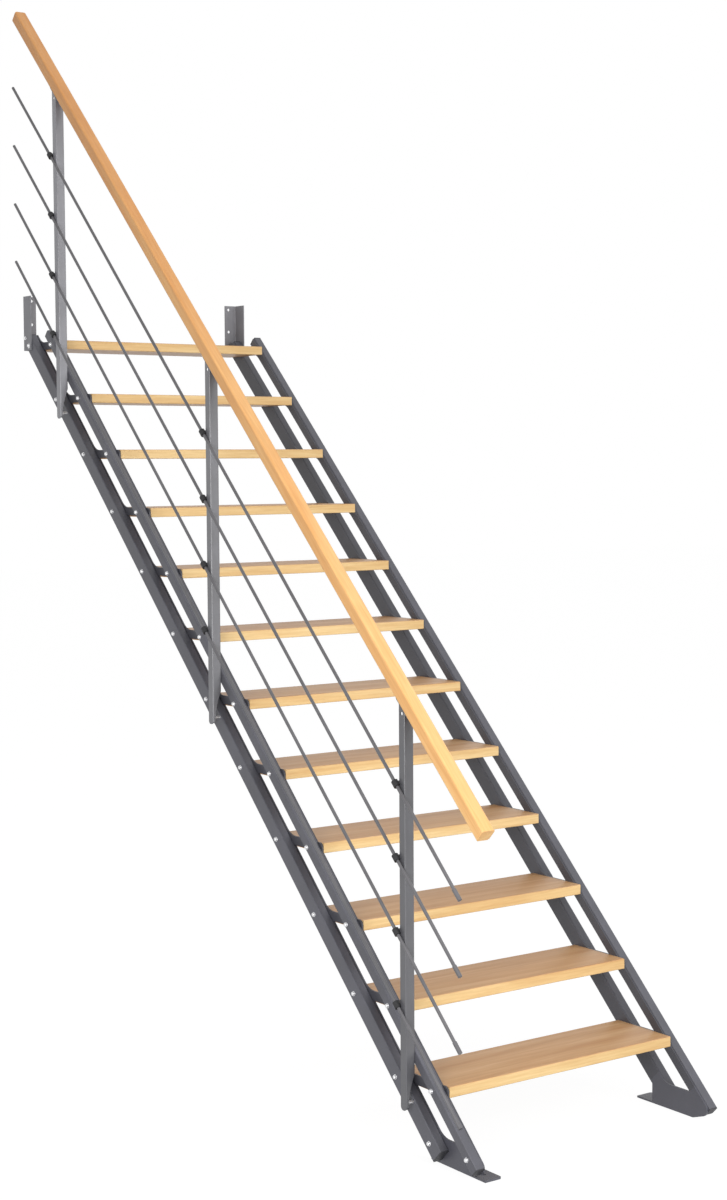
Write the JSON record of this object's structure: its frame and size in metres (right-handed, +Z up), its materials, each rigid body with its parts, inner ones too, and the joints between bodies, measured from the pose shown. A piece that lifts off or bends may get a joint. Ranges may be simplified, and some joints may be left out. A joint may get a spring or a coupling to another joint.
{
  "type": "straight staircase",
  "caption": "Straight open-riser staircase with wooden treads on twin-rail steel stringers and a one-sided railing of posts, rods and a wooden handrail.",
  "frame": {"origin": "on the floor, in the middle of the underside of the left foot's flange", "axes": "+Z up, +Y in the climbing direction, +X to the climber's right"},
  "size_m": [0.993, 2.7633, 3.6266],
  "materials": {
    "tread_wood": "satin clear lacquer on beech",
    "handrail_wood": "satin clear lacquer on beech",
    "rail_paint": "satin anthracite powder coat",
    "plate_paint": "satin anthracite powder coat",
    "foot_paint": "satin anthracite powder coat",
    "bracket_paint": "satin anthracite powder coat",
    "post_paint": "satin anthracite powder coat",
    "seat_paint": "satin anthracite powder coat",
    "cap_plastic": "matt black",
    "clamp_plastic": "matt black",
    "spacer_metal": "zinc-plated steel",
    "rod_metal": "satin anthracite powder coat"
  },
  "bodies": {
    "root": {"tread_01": "tread_wood", "tread_02": "tread_wood", "tread_03": "tread_wood", "tread_04": "tread_wood", "tread_05": "tread_wood", "tread_06": "tread_wood", "tread_07": "tread_wood", "tread_08": "tread_wood", "tread_09": "tread_wood", "tread_10": "tread_wood", "tread_11": "tread_wood", "tread_12": "tread_wood", "left_rear_rail": "rail_paint", "left_front_rail": "rail_paint", "left_stringer_plate": "plate_paint", "left_foot": "foot_paint", "left_wall_bracket": "bracket_paint", "right_rear_rail": "rail_paint", "right_front_rail": "rail_paint", "right_stringer_plate": "plate_paint", "right_foot": "foot_paint", "right_wall_bracket": "bracket_paint", "rail_end_caps": "cap_plastic", "lower_post": "post_paint", "lower_handrail_seat": "seat_paint", "lower_post_clamps": "clamp_plastic", "middle_post": "post_paint", "middle_handrail_seat": "seat_paint", "middle_post_clamps": "clamp_plastic", "upper_post": "post_paint", "upper_handrail_seat": "seat_paint", "upper_post_clamps": "clamp_plastic", "post_spacers": "spacer_metal", "handrail": "handrail_wood", "rod_1": "rod_metal", "rod_2": "rod_metal", "rod_3": "rod_metal", "rod_4": "rod_metal"}
  },
  "joints": []
}
